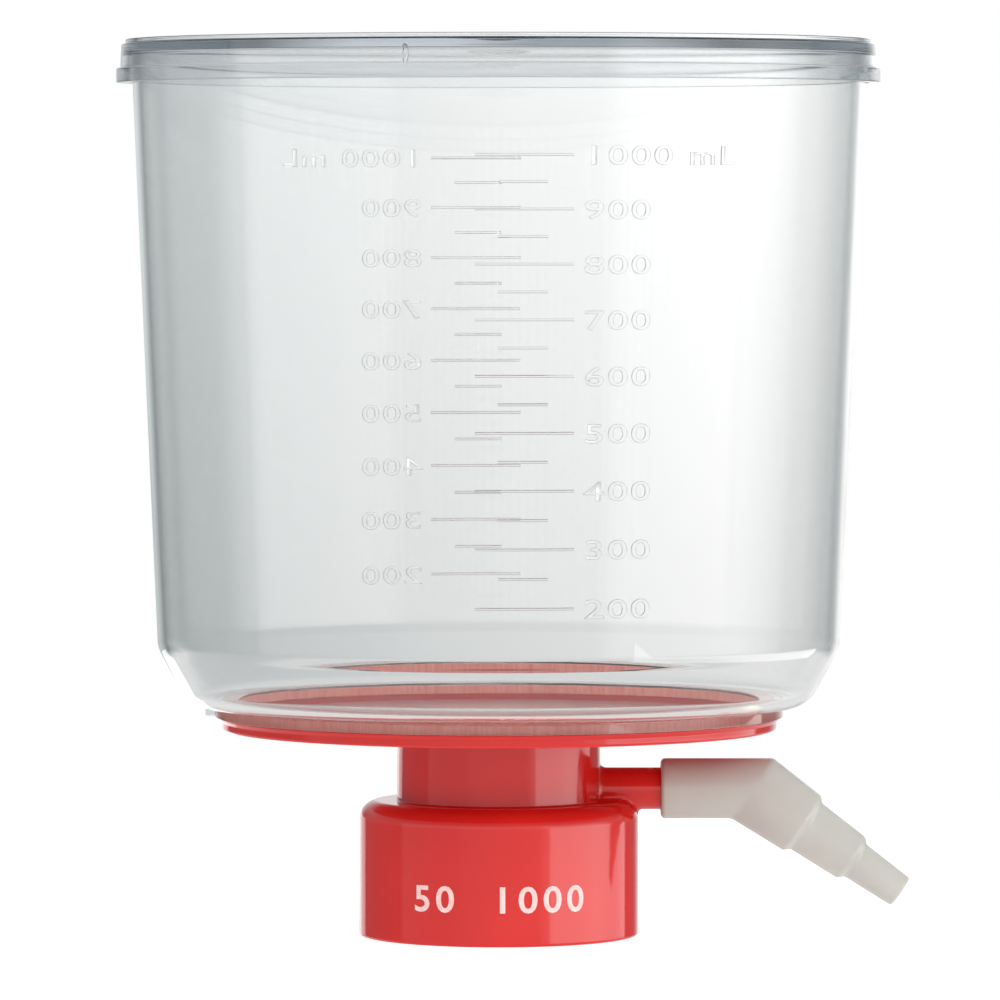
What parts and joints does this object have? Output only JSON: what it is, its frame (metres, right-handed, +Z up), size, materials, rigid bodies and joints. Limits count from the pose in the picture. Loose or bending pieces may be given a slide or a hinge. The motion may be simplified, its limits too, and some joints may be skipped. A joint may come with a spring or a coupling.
{
  "type": "bottle top vacuum filter",
  "caption": "Clear graduated funnel with a press-on lid, on a red filter base with a threaded bottle collar and a side arm that carries a swivelling stepped hose connector.",
  "frame": {"origin": "centre of the collar's mouth, on the axis of the unit, in the plane of the collar's rim", "axes": "+Z up the axis, from the collar to the lid; +X out along the side arm"},
  "size_m": [0.1379, 0.1328, 0.1558],
  "materials": {
    "red_plastic": "glossy, slightly translucent",
    "filter_membrane": "matt, fine pored",
    "clear_plastic": "clear, polished mould",
    "seal_rubber": "matt",
    "filter_fibre": "fibrous",
    "milky_plastic": "satin, translucent"
  },
  "bodies": {
    "base_unit": {"base": "red_plastic", "membrane": "filter_membrane", "funnel": "clear_plastic", "neck_gasket": "seal_rubber", "arm_plug": "filter_fibre"},
    "lid": {"lid": "clear_plastic"},
    "connector": {"hose_connector": "milky_plastic"}
  },
  "joints": [
    {"name": "lid_lift", "type": "slide", "parent": "base_unit", "child": "lid", "axis": [0, 0, 1], "range_m": [0, 0.03]},
    {"name": "connector_swivel", "type": "hinge", "parent": "base_unit", "child": "connector", "pos_m": [0.0282, 0, 0.0255], "axis": [1, 0, 0], "continuous": true}
  ]
}
